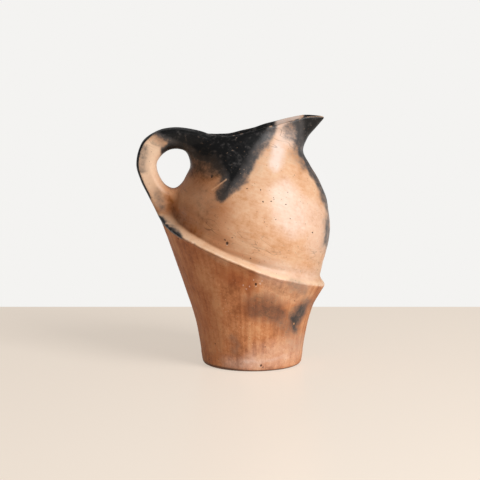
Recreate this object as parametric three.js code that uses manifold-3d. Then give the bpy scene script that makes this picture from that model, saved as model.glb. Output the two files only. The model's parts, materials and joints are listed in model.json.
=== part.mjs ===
// A hand-built terracotta pouring jug, taken apart into the pieces of clay that a potter lutes together:
// a floor slab, coiled wall courses, a slanted ridge collar, a neck, a beaked spout rim and a strap handle.
// Millimetres, +Z up, +X towards the spout. The origin is the centre of the foot, on the table.
import * as THREE from "three";
import { mergeVertices } from "three/addons/utils/BufferGeometryUtils.js";
import Module from "manifold-3d";

const wasm = await Module();
wasm.setup();

// Clay
const WALL = 7; // thickness of the body's wall
const LIP = 5.2; // thickness at the rim
const FLOOR = 10; // thickness of the floor slab
const SEAM = 0.3; // slip joint left open between two luted pieces

// Flared lower wall: each station's rise over the one below it, and its radius
const FOOT_RADIUS = 54.2;
const FOOT_ROUNDING = 4.5;
const KNEE = { rise: 41, radius: 60.5 };
const FLARE = { rise: 39, radius: 72.2 };
const BRIM = { rise: 72, radius: 96.9 };

// Slanted ridge: height of its edge at the spout, at the sides and at the handle, and its cross-section
const RIDGE_FRONT = 87.5;
const RIDGE_SIDE = 115;
const RIDGE_BACK = 160;
const RIDGE_PROJECTION = 5.2; // how far the edge stands out from the flared wall
const RIDGE_UNDERCUT = 18; // the run below the edge over which the wall swells out to it
const LEDGE_FRONT = 10.5; // the run above the edge over which it falls back to the belly, at the spout
const LEDGE_BACK = 16; // the same run at the handle
const LEDGE_HOLLOW = 1.7; // 1 is a straight slope, more is hollower
const RIDGE_FADE = Math.PI / 3; // turn from the handle over which the edge comes to stand out
const CAVITY_EASE = 34; // the run below the edge over which the inside passes from lower wall to belly

// Belly, shoulder, neck and mouth: each station's rise over the one below it (the waist's over the table),
// and its reach to the front, the back and each side
const WAIST = { rise: 98, front: 74.2, back: 77, side: 76 };
const BELLY = { rise: 53, front: 85.8, back: 87.5, side: 85 };
const UPPER_BELLY = { rise: 27, front: 82.8, back: 85, side: 80.5 };
const SHOULDER = { rise: 24, front: 73.4, back: 76, side: 69 };
const NAPE = { rise: 18, front: 63, back: 67.6, side: 55.5 };
const THROAT = { rise: 16, front: 55.8, back: 61.5, side: 43 };
const COLLAR = { rise: 14, front: 60.4, back: 51.5, side: 33.5 };
const SPOUT_ROOT = { rise: 11, front: 68.8, back: 42, side: 28.5 };
const SPOUT_TIP = { rise: 11, front: 78.4, back: 36, side: 27 };
const SPOUT_PINCH = 0.52; // how far the sides draw in towards the beak, as a share of their width

// Rim in side view: how far each place lies behind the spout's tip and below it
const RIM_CREST = { behind: 14.4, below: -2.4 };
const RIM_RISE = { behind: 40.4, below: 2.5 };
const RIM_MIDDLE = { behind: 78.4, below: 13.6 };
const RIM_DIP = { behind: 108.4, below: 19.8 };
const RIM_BACK_BELOW = 18.8;

// Strap handle in side view, from the rim over the top and down to the ridge: its back, its inner face,
// and its width across the jug. The first stations are measured from the rim's back edge.
const STRAP_ROOT = { backX: 11, backZ: -6, innerX: -3, innerZ: -37, width: 36 };
const STRAP_SADDLE = { backX: -3.5, backZ: 1.4, innerX: -18.5, innerZ: -31.6, width: 36 };
const STRAP_RISE = { backX: -23, backZ: 6.6, innerX: -26.5, innerZ: -19.6, width: 30 };
const STRAP_TOP = { backX: -37.5, backZ: 7.7, innerX: -38.2, innerZ: -16, width: 27 };
const STRAP_BEND = { backX: -53.5, backZ: 4.6, innerX: -47.5, innerZ: -19.6, width: 26 };
const STRAP_CORNER = { backX: -71, backZ: -8.1, innerX: -54.8, innerZ: -29.6, width: 26 };

// From here the back is measured from the ridge's back edge, and the inner face from the belly's widest place
const STRAP_SHANK = { backX: -26.9, backZ: 62, innerX: -16.74, innerZ: 64, width: 26 };
const STRAP_DROP = { backX: -22.4, backZ: 44.5, innerX: -13.54, innerZ: 55, width: 26 };
const STRAP_ANKLE = { backX: -14.8, backZ: 28.5, innerX: -7.54, innerZ: 46.6, width: 26.5 };
const STRAP_HEEL = { backX: -7.2, backZ: 12.5, innerX: 0.26, innerZ: 42.8, width: 27 };
const STRAP_FOOT = { backX: -1.4, backZ: 1, innerX: 8.26, innerZ: 45, width: 28 };
const STRAP_END = { backX: 9, backZ: -10, innerX: 16.86, innerZ: 51, width: 30 };
const STRAP_SQUARENESS = 2.7; // 2 is an ellipse in section, more is nearer a rectangle
const STRAP_SPREAD = { most: 34, run: 10 }; // extra width on the ridge, and the height in which it dies away
const STRAP_WRAP = { from: 36, to: 12 }; // heights over the ridge between which it bends round the brim

// Coiled courses
const LOWER_COURSES = 3;
const BELLY_COURSES = 3;
const COLLAR_BELOW = 15.5; // from the ridge's plane down to the seam under it
const COLLAR_ABOVE = 16; // from the ridge's plane up to the seam over it
const NECK_SEAM = 9; // over the shoulder
const THROAT_SEAM = 3; // over the throat

// Facets
const AROUND = 56;
const OUTSIDE_LEVELS = 4;
const INSIDE_LEVELS = 3;
const LEVEL_STEP = 8.5;
const RIDGE_SHARES = [0, 0.35, 0.65, 0.87, 1];
const LEDGE_SHARES = [0.12, 0.3, 0.55, 0.8, 1];
const FOOT_SHARES = [0, 0.15, 0.4, 0.7, 1];
const STRAP_STEPS = 36;
const STRAP_SIDES = 18;
const MERGE = 1e-4;
const SLOPE_STEP = 0.5;
const MEETING_STEPS = 60;

const clamp01 = (t) => Math.min(1, Math.max(0, t));
const smooth = (t) => clamp01(t) ** 2 * (3 - 2 * clamp01(t));
const mix = (a, b, t) => a + (b - a) * t;
const steps = (count) => Array.from({ length: count + 1 }, (_, i) => i / count);

// A smooth curve through [place, size] stations that never overshoots them
function profile(stations) {
  const at = stations.map((s) => s[0]);
  const size = stations.map((s) => s[1]);
  const last = at.length - 1;
  const rates = at.slice(1).map((x, i) => (size[i + 1] - size[i]) / (x - at[i]));
  const slopes = at.map((_, i) => {
    if (i === 0) return rates[0];
    if (i === last) return rates[last - 1];
    const [a, b] = [rates[i - 1], rates[i]];
    return a * b <= 0 ? 0 : (2 * a * b) / (a + b);
  });
  return (x) => {
    if (x <= at[0]) return size[0] + slopes[0] * (x - at[0]);
    if (x >= at[last]) return size[last] + slopes[last] * (x - at[last]);
    const i = at.findIndex((a) => a > x) - 1;
    const run = at[i + 1] - at[i];
    const t = (x - at[i]) / run;
    const u = 1 - t;
    const level = u * u * (1 + 2 * t) * size[i] + t * t * (3 - 2 * t) * size[i + 1];
    return level + run * t * u * (u * slopes[i] - t * slopes[i + 1]);
  };
}

// Stations of a profile from the table up, with their heights
function stacked(stations) {
  let height = 0;
  return stations.map((s) => {
    height += s.rise;
    return { ...s, height };
  });
}

// Profiles of the body
const flared = stacked([KNEE, FLARE, BRIM]);
const flaredWall = profile([[0, FOOT_RADIUS], ...flared.map((s) => [s.height, s.radius])]);
const upper = stacked([
  WAIST,
  BELLY,
  UPPER_BELLY,
  SHOULDER,
  NAPE,
  THROAT,
  COLLAR,
  SPOUT_ROOT,
  SPOUT_TIP,
]);
const [, belly, , shoulder, , throat, , , tip] = upper;
const reach = (side) => profile(upper.map((s) => [s.height, s[side]]));
const frontReach = reach("front");
const backReach = reach("back");
const sideReach = reach("side");
const rimBack = tip.height - RIM_BACK_BELOW;
const rimEdge = -backReach(rimBack);
const rimTop = tip.height - RIM_CREST.below;
const rimPlaces = [RIM_DIP, RIM_MIDDLE, RIM_RISE, RIM_CREST, { behind: 0, below: 0 }];
const rimLine = profile([
  [rimEdge, rimBack],
  ...rimPlaces.map((p) => [tip.front - p.behind, tip.height - p.below]),
]);
const ridgeEdge = -flaredWall(RIDGE_BACK);

// Thickness of the wall at a height
const wallAt = (z) => mix(WALL, LIP, smooth((z - throat.height) / (rimTop - throat.height)));

// Level thickness over square thickness, on a wall that leans
function lean(reachAt, z) {
  const rate = (reachAt(z + SLOPE_STEP) - reachAt(z - SLOPE_STEP)) / (2 * SLOPE_STEP);
  return Math.sqrt(1 + rate * rate);
}

// Height of the ridge's edge, round from the spout (turn 0) to the handle (turn pi)
function ridgeHeight(turn) {
  const side = RIDGE_SIDE - RIDGE_FRONT;
  const curl = (RIDGE_BACK - RIDGE_FRONT) / 2 - side;
  const away = 1 - Math.cos(turn);
  return RIDGE_FRONT + (side - curl) * away + curl * away * away;
}

// The ridge stands out all round, and dies away where the strap takes over
function ridgeProjection(turn) {
  const fromHandle = Math.acos(-Math.cos(turn));
  return RIDGE_PROJECTION * smooth(fromHandle / RIDGE_FADE);
}

// The run of the ledge above the ridge's edge
function ledgeRun(turn) {
  return mix(LEDGE_FRONT, LEDGE_BACK, (1 - Math.cos(turn)) / 2);
}

// How far the sides draw in towards the beak
function pinch(z) {
  return SPOUT_PINCH * smooth((z - throat.height) / (tip.height - throat.height));
}

// Level section of the flared wall, drawn in by an inset
function flaredPoint(turn, z, inset) {
  const r = flaredWall(z) - inset * lean(flaredWall, z);
  return [r * Math.cos(turn), r * Math.sin(turn)];
}

// Level section of the belly, neck and spout, drawn in by an inset
function bellyPoint(turn, z, inset) {
  const front = frontReach(z) - inset * lean(frontReach, z);
  const back = backReach(z) - inset * lean(backReach, z);
  const side = sideReach(z) - inset * lean(sideReach, z);
  const c = Math.cos(turn);
  const drawn = 1 - pinch(z) * Math.max(0, c);
  return [(front - back) / 2 + ((front + back) / 2) * c, side * Math.sin(turn) * drawn];
}

// Outer skin of the body, grown outwards by a clearance
function outerPoint(turn, z, grow = 0) {
  const edge = ridgeHeight(turn);
  const out = ridgeProjection(turn);
  const above = z - edge;
  if (above <= 0) {
    const swell = out * Math.sin((Math.PI / 2) * clamp01(1 + above / RIDGE_UNDERCUT));
    const low = Math.min(FOOT_ROUNDING, Math.max(0, FOOT_ROUNDING - z));
    const tuck = FOOT_ROUNDING - Math.sqrt(FOOT_ROUNDING ** 2 - low ** 2);
    return flaredPoint(turn, z, tuck - swell - grow);
  }
  const belly = bellyPoint(turn, z, -grow);
  const left = clamp01(1 - above / ledgeRun(turn)) ** LEDGE_HOLLOW;
  const brim = flaredPoint(turn, edge, -out - grow);
  const root = bellyPoint(turn, edge, -grow);
  return belly.map((v, i) => v + (brim[i] - root[i]) * left);
}

// Inner skin of the body: it passes behind the ridge without following it
function innerPoint(turn, z) {
  const across = smooth((z - ridgeHeight(turn) + CAVITY_EASE) / CAVITY_EASE);
  const low = flaredPoint(turn, z, WALL);
  const high = bellyPoint(turn, z, wallAt(z));
  return low.map((v, i) => mix(v, high[i], across));
}

// Seams: each gives its height at a place along the jug
const plane = (height, fall) => ({ height, fall });
const ridgeFront = flaredWall(RIDGE_FRONT) + RIDGE_PROJECTION;
const ridgeFall = (RIDGE_BACK - RIDGE_FRONT) / (ridgeFront - ridgeEdge);
const ridgeMiddle = RIDGE_FRONT + ridgeFall * ridgeFront;
const floorTop = plane(FLOOR, 0);
const underRidge = plane(ridgeMiddle - COLLAR_BELOW, ridgeFall);
const overRidge = plane(ridgeMiddle + COLLAR_ABOVE, ridgeFall);
const neckBase = plane(shoulder.height + NECK_SEAM, 0);
const spoutBase = plane(throat.height + THROAT_SEAM, 0);
const between = (low, high, t) =>
  plane(mix(low.height, high.height, t), mix(low.fall, high.fall, t));
const seamHeight = (seam) => (x) => seam.height - seam.fall * x;

// Height at which a skin meets a seam or the rim, at a turn
function meeting(heightAt, turn, skin) {
  let z = heightAt(0);
  for (let i = 0; i < MEETING_STEPS; i++) z = heightAt(skin(turn, z)[0]);
  return z;
}

// A three.js geometry of points and triangles, and the same as a solid that can be cut
function geometryOf(points, faces) {
  const geometry = new THREE.BufferGeometry();
  geometry.setAttribute("position", new THREE.Float32BufferAttribute(points.flat(), 3));
  geometry.setIndex(faces);
  return geometry;
}
function toSolid(geometry) {
  const merged = mergeVertices(geometry, MERGE);
  return new wasm.Manifold(
    new wasm.Mesh({
      numProp: 3,
      vertProperties: new Float32Array(merged.attributes.position.array),
      triVerts: new Uint32Array(merged.index.array),
    }),
  );
}
function fromSolid(solid) {
  const mesh = solid.getMesh();
  const points = Array.from({ length: mesh.numVert }, (_, i) => [
    ...mesh.vertProperties.slice(i * mesh.numProp, i * mesh.numProp + 3),
  ]);
  return geometryOf(points, [...mesh.triVerts]);
}

// Triangles between ring number k and ring number m, for rings of n points
function band(k, m, n) {
  const faces = [];
  for (let i = 0; i < n; i++) {
    const j = (i + 1) % n;
    faces.push(k * n + i, k * n + j, m * n + j, k * n + i, m * n + j, m * n + i);
  }
  return faces;
}

// A solid from rings that close on themselves, like a doughnut
function ringSolid(rings) {
  const n = rings[0].length;
  const faces = rings.flatMap((_, k) => band(k, (k + 1) % rings.length, n));
  return geometryOf(rings.flat(), faces);
}

// A solid from a stack of rings with a cap on its first and last ring
function stackSolid(rings) {
  const n = rings[0].length;
  const centre = (ring) => [0, 1, 2].map((i) => ring.reduce((sum, p) => sum + p[i] / n, 0));
  const faces = rings.slice(1).flatMap((_, k) => band(k, k + 1, n));
  const first = rings.length * n;
  const top = first - n;
  for (let i = 0; i < n; i++) {
    faces.push(first, (i + 1) % n, i);
    faces.push(first + 1, top + i, top + ((i + 1) % n));
  }
  const ends = [centre(rings[0]), centre(rings[rings.length - 1])];
  return geometryOf([...rings.flat(), ...ends], faces);
}

const turns = steps(AROUND)
  .slice(0, AROUND)
  .map((t) => 2 * Math.PI * t);

// One ring of a skin, at the height that each turn asks for
function skinRing(skin, heightOf) {
  return turns.map((turn) => {
    const z = heightOf(turn);
    return [...skin(turn, z), z];
  });
}

// Rings of a skin from one height to another, at the given shares of the way
function skinRings(skin, lowOf, highOf, shares) {
  return shares.map((t) => skinRing(skin, (turn) => mix(lowOf(turn), highOf(turn), t)));
}

// A wall course between two seams, each a height along the jug
function course(low, high, crossesRidge = false) {
  const heights = (skin) => [
    (turn) => meeting(low, turn, skin),
    (turn) => meeting(high, turn, skin) - (high === rimLine ? 0 : SEAM),
  ];
  const [outerLow, outerHigh] = heights(outerPoint);
  const [innerLow, innerHigh] = heights(innerPoint);
  const outside = crossesRidge
    ? [
        ...skinRings(outerPoint, outerLow, ridgeHeight, RIDGE_SHARES),
        ...skinRings(outerPoint, ridgeHeight, outerHigh, LEDGE_SHARES),
      ]
    : skinRings(outerPoint, outerLow, outerHigh, steps(OUTSIDE_LEVELS));
  const inside = skinRings(innerPoint, innerHigh, innerLow, steps(INSIDE_LEVELS));
  return ringSolid([...outside, ...inside]);
}

// The floor slab, with the foot's rounded edge
function floorSlab() {
  const top = FLOOR - SEAM;
  const foot = skinRings(outerPoint, () => 0, () => FOOT_ROUNDING, FOOT_SHARES);
  return stackSolid([...foot, skinRing(outerPoint, () => top)]);
}

// The body as solid clay from the foot to above the rim, grown by a clearance: it trims the strap
function bodyBlank(grow) {
  const skin = (turn, z) => outerPoint(turn, z, grow);
  const top = rimTop + STRAP_ROOT.width;
  const under = (turn) => ridgeHeight(turn) - RIDGE_UNDERCUT;
  const over = (turn) => ridgeHeight(turn) + ledgeRun(turn);
  const count = Math.round((top - RIDGE_BACK) / LEVEL_STEP);
  return stackSolid([
    skinRing(skin, () => FOOT_ROUNDING),
    ...skinRings(skin, under, ridgeHeight, RIDGE_SHARES),
    ...skinRings(skin, ridgeHeight, over, LEDGE_SHARES),
    ...skinRings(skin, over, () => top, steps(count).slice(1)),
  ]);
}

// The strap's stations in the jug's own frame
function strapStations() {
  const rim = { x: rimEdge, z: rimBack };
  const ridge = { x: ridgeEdge, z: RIDGE_BACK };
  const swell = { x: -belly.back, z: belly.height };
  const placed = (back, inner, stations) =>
    stations.map((s) => ({
      back: new THREE.Vector3(back.x + s.backX, 0, back.z + s.backZ),
      inner: new THREE.Vector3(inner.x + s.innerX, 0, inner.z + s.innerZ),
      width: s.width,
    }));
  const over = [STRAP_ROOT, STRAP_SADDLE, STRAP_RISE, STRAP_TOP, STRAP_BEND, STRAP_CORNER];
  const down = [STRAP_SHANK, STRAP_DROP, STRAP_ANKLE, STRAP_HEEL, STRAP_FOOT, STRAP_END];
  return [...placed(rim, rim, over), ...placed(ridge, swell, down)];
}

// The strap: a rounded section swept between its back and its inner face
function strapBlank() {
  const stations = strapStations();
  const back = new THREE.CatmullRomCurve3(stations.map((s) => s.back));
  const inner = new THREE.CatmullRomCurve3(stations.map((s) => s.inner));
  const width = profile(stations.map((s, i) => [i / (stations.length - 1), s.width]));
  const square = (v) => Math.sign(v) * Math.abs(v) ** (2 / STRAP_SQUARENESS);
  const sides = steps(STRAP_SIDES).slice(0, STRAP_SIDES);
  const rings = steps(STRAP_STEPS).map((t) => {
    const from = inner.getPoint(t);
    const to = back.getPoint(t);
    return sides.map((side) => {
      const angle = 2 * Math.PI * side;
      const across = (1 + square(Math.cos(angle))) / 2;
      const x = mix(from.x, to.x, across);
      const z = mix(from.z, to.z, across);
      const over = z - RIDGE_BACK;
      const spread = STRAP_SPREAD.most * Math.exp(-Math.max(0, over) / STRAP_SPREAD.run);
      const y = (square(Math.sin(angle)) * (width(t) + spread)) / 2;
      const wrap = smooth((STRAP_WRAP.from - over) / (STRAP_WRAP.from - STRAP_WRAP.to));
      const bend = -ridgeEdge - Math.sqrt(ridgeEdge ** 2 - y * y);
      return [x + wrap * bend, y, z];
    });
  });
  return stackSolid(rings);
}

const bare = new THREE.MeshStandardMaterial({ color: 0xc08457, roughness: 0.7, metalness: 0 });
const burnished = new THREE.MeshStandardMaterial({ color: 0xd9a577, roughness: 0.5, metalness: 0 });
const smoked = new THREE.MeshStandardMaterial({ color: 0x3a332f, roughness: 0.45, metalness: 0 });

const jug = new THREE.Group();

function addPiece(name, geometry, material) {
  const flat = geometry.toNonIndexed();
  flat.computeVertexNormals();
  const mesh = new THREE.Mesh(flat, material);
  mesh.name = name;
  jug.add(mesh);
}

addPiece("floor_slab", floorSlab(), bare);

// Courses laid between two seams, one on the other
function courses(name, count, bottom, top, material) {
  for (let i = 0; i < count; i++) {
    const low = between(bottom, top, i / count);
    const high = between(bottom, top, (i + 1) / count);
    addPiece(`${name}_${i + 1}`, course(seamHeight(low), seamHeight(high)), material);
  }
}

courses("lower_wall_course", LOWER_COURSES, floorTop, underRidge, bare);
addPiece("ridge_collar", course(seamHeight(underRidge), seamHeight(overRidge), true), burnished);
courses("belly_course", BELLY_COURSES, overRidge, neckBase, burnished);
addPiece("neck_course", course(seamHeight(neckBase), seamHeight(spoutBase)), burnished);
addPiece("spout_rim", course(seamHeight(spoutBase), rimLine), smoked);

const strap = toSolid(strapBlank()).subtract(toSolid(bodyBlank(SEAM)));
addPiece("strap_handle", fromSolid(strap), smoked);

export default jug;
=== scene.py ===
# A hand-built pouring jug of wood-fired terracotta: scraped below its slanted ridge, burnished above it,
# and blackened by smoke over the handle, the rim and the spout. Metres, +Z up, +X towards the spout.
import itertools
import json
import math
from functools import partial
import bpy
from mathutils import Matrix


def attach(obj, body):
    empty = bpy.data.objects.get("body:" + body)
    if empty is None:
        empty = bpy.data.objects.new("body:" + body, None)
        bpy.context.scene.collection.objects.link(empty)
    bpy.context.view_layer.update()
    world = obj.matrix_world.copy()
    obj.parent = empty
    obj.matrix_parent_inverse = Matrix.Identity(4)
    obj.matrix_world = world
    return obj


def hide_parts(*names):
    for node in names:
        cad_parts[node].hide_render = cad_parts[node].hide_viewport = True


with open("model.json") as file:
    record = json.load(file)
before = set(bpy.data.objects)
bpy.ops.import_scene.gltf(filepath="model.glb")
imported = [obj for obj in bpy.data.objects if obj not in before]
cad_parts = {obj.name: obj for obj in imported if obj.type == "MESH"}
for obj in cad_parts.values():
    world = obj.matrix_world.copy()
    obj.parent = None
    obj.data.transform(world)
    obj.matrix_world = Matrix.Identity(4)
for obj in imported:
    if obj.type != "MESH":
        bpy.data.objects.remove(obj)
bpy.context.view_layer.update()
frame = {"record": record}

from types import SimpleNamespace

import bmesh
import bpy
import numpy as np
import openvdb
from bpy.props import FloatProperty, FloatVectorProperty, PointerProperty
from mathutils import Vector

bl_info = {
    "name": "Terracotta pouring jug",
    "version": (1, 0, 0),
    "blender": (4, 5, 0),
    "location": "3D View > Sidebar > Jug",
    "description": "Builds a coiled, scraped and burnished jug round its packed frame",
    "category": "Add Mesh",
}

MM = 0.001
TAU = 2 * math.pi
# The coiled courses of the lower wall, and those of the belly
COURSES = (1, 2, 3)


# Sizes and colours that a user would change


def lengths(label, what, *mm):
    """A length, or a row of them, with defaults in millimetres"""
    shared = {"name": label, "description": what, "unit": "LENGTH", "precision": 4}
    if len(mm) == 1:
        return FloatProperty(default=mm[0] * MM, **shared)
    return FloatVectorProperty(size=len(mm), default=[v * MM for v in mm], **shared)


def share(label, what, value):
    """A plain number"""
    return FloatProperty(name=label, description=what, default=value)


def linear(hex_colour):
    """An sRGB hex colour as linear red, green, blue and alpha"""
    parts = [int(hex_colour[i : i + 2], 16) / 255 for i in (1, 3, 5)]
    return (*[c / 12.92 if c <= 0.04045 else ((c + 0.055) / 1.055) ** 2.4 for c in parts], 1.0)


def colour(label, what, hex_colour):
    """A colour property, with its default as sRGB hex"""
    shared = {"size": 4, "min": 0, "max": 1, "subtype": "COLOR"}
    return FloatVectorProperty(name=label, description=what, default=linear(hex_colour), **shared)


def settings(group):
    """A group of settings, which its own name and docstring label"""
    label = group.__name__.removeprefix("Jug")
    return PointerProperty(type=group, name=label, description=group.__doc__)


def stations(what, **rows):
    """Rows of lengths that mean the same at each station of a form, by the stations' names"""
    return {name: lengths(name.replace("_", " ").capitalize(), what, *mm) for name, mm in rows.items()}


class JugWall(bpy.types.PropertyGroup):
    """The flared lower wall and the clay's thickness"""

    wall: lengths("Wall", "Thickness of the body's wall", 7)
    lip: lengths("Lip", "Thickness of the wall at the rim", 5.2)
    floor: lengths("Floor", "Thickness of the floor slab", 10)
    slab_seam: lengths("Slab seam", "Height of the seam between slab and wall", 14)
    foot_radius: lengths("Foot", "Radius of the foot", 53.8)
    foot_rounding: lengths("Foot rounding", "Radius of the foot's edge", 3)
    knee: lengths("Knee", "Height and radius low on the wall", 41, 60.5)
    flare: lengths("Flare", "Height and radius half-way up the wall", 80, 72.2)
    brim: lengths("Brim", "Height and radius near the ridge at the handle", 152, 96.9)


class JugRidge(bpy.types.PropertyGroup):
    """The slanted ridge"""

    front: lengths("Front", "Height of the ridge's edge at the spout", 87.5)
    side: lengths("Side", "Height of the ridge's edge at the sides", 118)
    back: lengths("Back", "Height of the ridge's edge at the handle", 160)
    out: lengths("Projection", "How far the edge stands out at the spout and at the back", 5.2, 4)
    undercut: lengths("Undercut", "Run below the edge at the spout and at the back", 22, 4)
    ledge: lengths("Ledge", "Run above the edge at the spout and at the back", 12, 5.8)
    trough: lengths("Trough", "Depth of the hollow over the ridge at the back, and its height", 1.2, 13)
    lift: lengths("Lift", "How much the edge arches up between the spout and the sides", 2.4)
    heel: lengths("Heel", "How much the edge climbs under the strap", 4.5)
    cavity_ease: lengths("Cavity ease", "Run over which the inside passes the ridge", 34)
    wobble: lengths("Wobble", "How far the edge wanders up and down", 0.9)
    below: lengths("Seam below", "From the ridge's plane to the seam under it", 15.5)
    above: lengths("Seam above", "From the ridge's plane to the seam over it", 16)


BELLY_STATIONS = stations(
    "Height, reach to the front, to the back and to each side",
    waist=(98, 74.2, 77, 76),
    belly=(151, 85.4, 89.2, 85),
    upper_belly=(178, 82.6, 87.4, 80.5),
    shoulder=(202, 73.4, 75.2, 69),
    nape=(220, 63, 66.8, 55.5),
    throat=(236, 55.8, 61.5, 43),
    collar=(250, 61, 51.5, 33.5),
    spout_root=(261, 70, 42, 28.5),
    spout_tip=(272, 79.4, 36, 27),
)
STRAP_STATIONS = stations(
    "The back's x and z, the inner face's x and z, and the width",
    root=(-38, 247.2, -52, 216.2, 36),
    saddle=(-52.5, 254.6, -64, 226.5, 36),
    rise=(-72, 259.4, -74.5, 236.6, 30),
    top=(-86.5, 260.4, -87.2, 237.8, 27),
    bend=(-102.5, 257.3, -96.5, 233.2, 26),
    corner=(-120, 245.1, -103.8, 223.6, 26),
    shank=(-126.5, 222, -104.2, 215, 26),
    drop=(-122, 204.5, -101, 206, 26),
    ankle=(-114.4, 188.5, -95, 197.6, 26.5),
    heel=(-106.8, 172.5, -87.2, 193.8, 27),
    foot=(-101, 161, -79.2, 196, 28),
    end=(-90.6, 150, -70.6, 202, 30),
)


class JugBelly(bpy.types.PropertyGroup):
    """Belly, shoulder, neck and mouth"""

    pinch: share("Pinch", "How far the sides draw in towards the beak", 0.52)
    neck_seam: lengths("Neck seam", "Height of the seam at the shoulder", 211)
    spout_seam: lengths("Spout seam", "Height of the seam over the throat", 239)
    __annotations__.update(BELLY_STATIONS)


class JugRim(bpy.types.PropertyGroup):
    """The rim in side view: places along the jug and their heights"""

    back: lengths("Back", "Height of the rim at the handle", 253.2)
    dip: lengths("Dip", "Place and height", -30, 252.2)
    middle: lengths("Middle", "Place and height", 0, 258.4)
    rise: lengths("Rise", "Place and height", 38, 269.5)
    crest: lengths("Crest", "Place and height", 64, 274.2)
    tip: lengths("Tip", "Place and height", 79, 273)
    rounding: lengths("Rounding", "Radius of the lip's edges", 2.2)
    wobble: lengths("Wobble", "How far the rim wanders up and down", 0.5)
    uneven: lengths("Uneven", "How much higher the rim stands on the jug's right", 1.8)


class JugStrap(bpy.types.PropertyGroup):
    """The strap handle in side view"""

    rounding: lengths("Rounding", "Radius of its edges at the back and round the hole", 4.5, 9)
    spread: lengths("Spread", "Extra half-width on the ridge, and the height in which it goes", 17, 10)
    wrap: lengths("Wrap", "Heights over the ridge between which it bends round it", 36, 12)
    fillet: lengths("Fillet", "Radius of clay smeared under the hole, over it and at the foot", 4.5, 12, 9)
    fillet_heights: lengths("Fillet heights", "Where each takes over from the one below", 192, 203, 248)
    flush: lengths("Flush", "Place behind which strap and wall run flush, and need no fillet", -93)
    cut: lengths("Cut", "Two places on the seam between strap and body, x and z", -89, 178, -60, 244)
    __annotations__.update(STRAP_STATIONS)


class JugSurface(bpy.types.PropertyGroup):
    """What the hand and the tools leave on the clay"""

    cell: lengths("Cell", "Size of the facets that the skin is made of", 1.25)
    lumps: lengths("Lumps", "Depth of the broad unevenness left by the hand", 0.7)
    facets: lengths("Facets", "Depth of the upright flats left by scraping", 0.5)
    strokes: lengths("Strokes", "Depth of the burnishing strokes", 0.16)
    coil_line: lengths("Coil line", "Depth of the coil line over the ridge, and its height", 0.5, 24)
    foot_band: lengths("Foot band", "Depth of the band over the foot, and its height", 0.35, 15)


class JugColours(bpy.types.PropertyGroup):
    """Colours of the fired clay and of the smoke on it, and of its painted shade and highlights"""

    buff: colour("Buff", "Burnished clay where the slip is palest", "#E1BA97")
    tan: colour("Tan", "Burnished clay", "#D9A883")
    sienna: colour("Sienna", "Burnished clay where it is deepest", "#C68E60")
    scraped_light: colour("Scraped light", "Scraped clay on the crests of its streaks", "#DA9F70")
    scraped_mid: colour("Scraped", "Scraped clay", "#C58153")
    scraped_dark: colour("Scraped dark", "Scraped clay in its grooves", "#9F5F35")
    # This pale colour is also laid as painted highlights on the belly, the neck and the strap's face
    slip: colour("Slip", "Pale slip that gathers on the swell and the foot", "#ECD7CB")
    # This tint also darkens the painted shade on the jug's left side and in the creases by the strap
    stain: colour("Stain", "Tint that the stain of the firing gives the clay", "#C29055")
    thin_smoke: colour("Thin smoke", "Smoke where it only greys the clay", "#806C60")
    grey_smoke: colour("Grey smoke", "Smoke half-way in", "#504C4B")
    black_smoke: colour("Black smoke", "Full smoke black", "#0B0B0C")
    # This dark colour is also laid as painted shade in the crease over the ridge, under its edge, where the
    # foot stands, and in the pits
    dirt: colour("Dirt", "Ash and dirt in creases and pits", "#2E1D14")
    # This pale colour is also laid as painted highlights along the ridge's crest, on its ledge and on the
    # strap's face
    worn: colour("Worn", "Clay rubbed pale on edges", "#F0CCAA")


class JugStudio(bpy.types.PropertyGroup):
    """Camera, lamps, table and backdrop"""

    aim: lengths("Aim", "Place that the camera looks at", -13.3, 0, 136.7)
    camera_distance: lengths("Camera distance", "From the camera to that place", 2630)
    camera_rise: FloatProperty(
        name="Camera rise",
        description="Angle of the camera over the table",
        default=math.radians(8.8),
        subtype="ANGLE",
    )
    frame_width: lengths("Frame width", "Width that the camera sees at that place", 528)
    table_edge: lengths("Table edge", "Distance from the jug's axis to the table's far edge", 338)
    table: colour("Table", "Colour of the table", "#FBEDDE")
    backdrop: colour("Backdrop", "Colour of the backdrop", "#F4F3F1")
    key: FloatProperty(name="Key", description="Power of the key lamp", default=40, unit="POWER")
    world: share("World", "Strength of the light from all round", 0.22)


class JugSettings(bpy.types.PropertyGroup):
    """All the jug's settings"""

    wall: settings(JugWall)
    ridge: settings(JugRidge)
    belly: settings(JugBelly)
    rim: settings(JugRim)
    strap: settings(JugStrap)
    surface: settings(JugSurface)
    colours: settings(JugColours)
    studio: settings(JugStudio)


# The groups that give the jug its form
FORM_GROUPS = ("wall", "ridge", "belly", "rim", "strap", "surface")


def in_mm(group):
    """A group's sizes, with its lengths in millimetres"""
    sizes = SimpleNamespace()
    for name in type(group).__annotations__:
        value = getattr(group, name)
        if group.bl_rna.properties[name].unit == "LENGTH":
            value = value / MM if isinstance(value, float) else tuple(v / MM for v in value)
        setattr(sizes, name, value)
    return sizes


# Curves, noise and ways of joining clay


def smooth(t):
    """A soft step from 0 to 1"""
    t = np.clip(t, 0, 1)
    return t * t * (3 - 2 * t)


def mix(a, b, t):
    """Part of the way from a to b"""
    return a + (b - a) * t


def hump(distance, width):
    """A soft hump, 1 where the distance is nought"""
    return np.exp(-((distance / width) ** 2))


def joined(*axes):
    """Points from their coordinates"""
    return np.stack(axes, -1)


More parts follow.
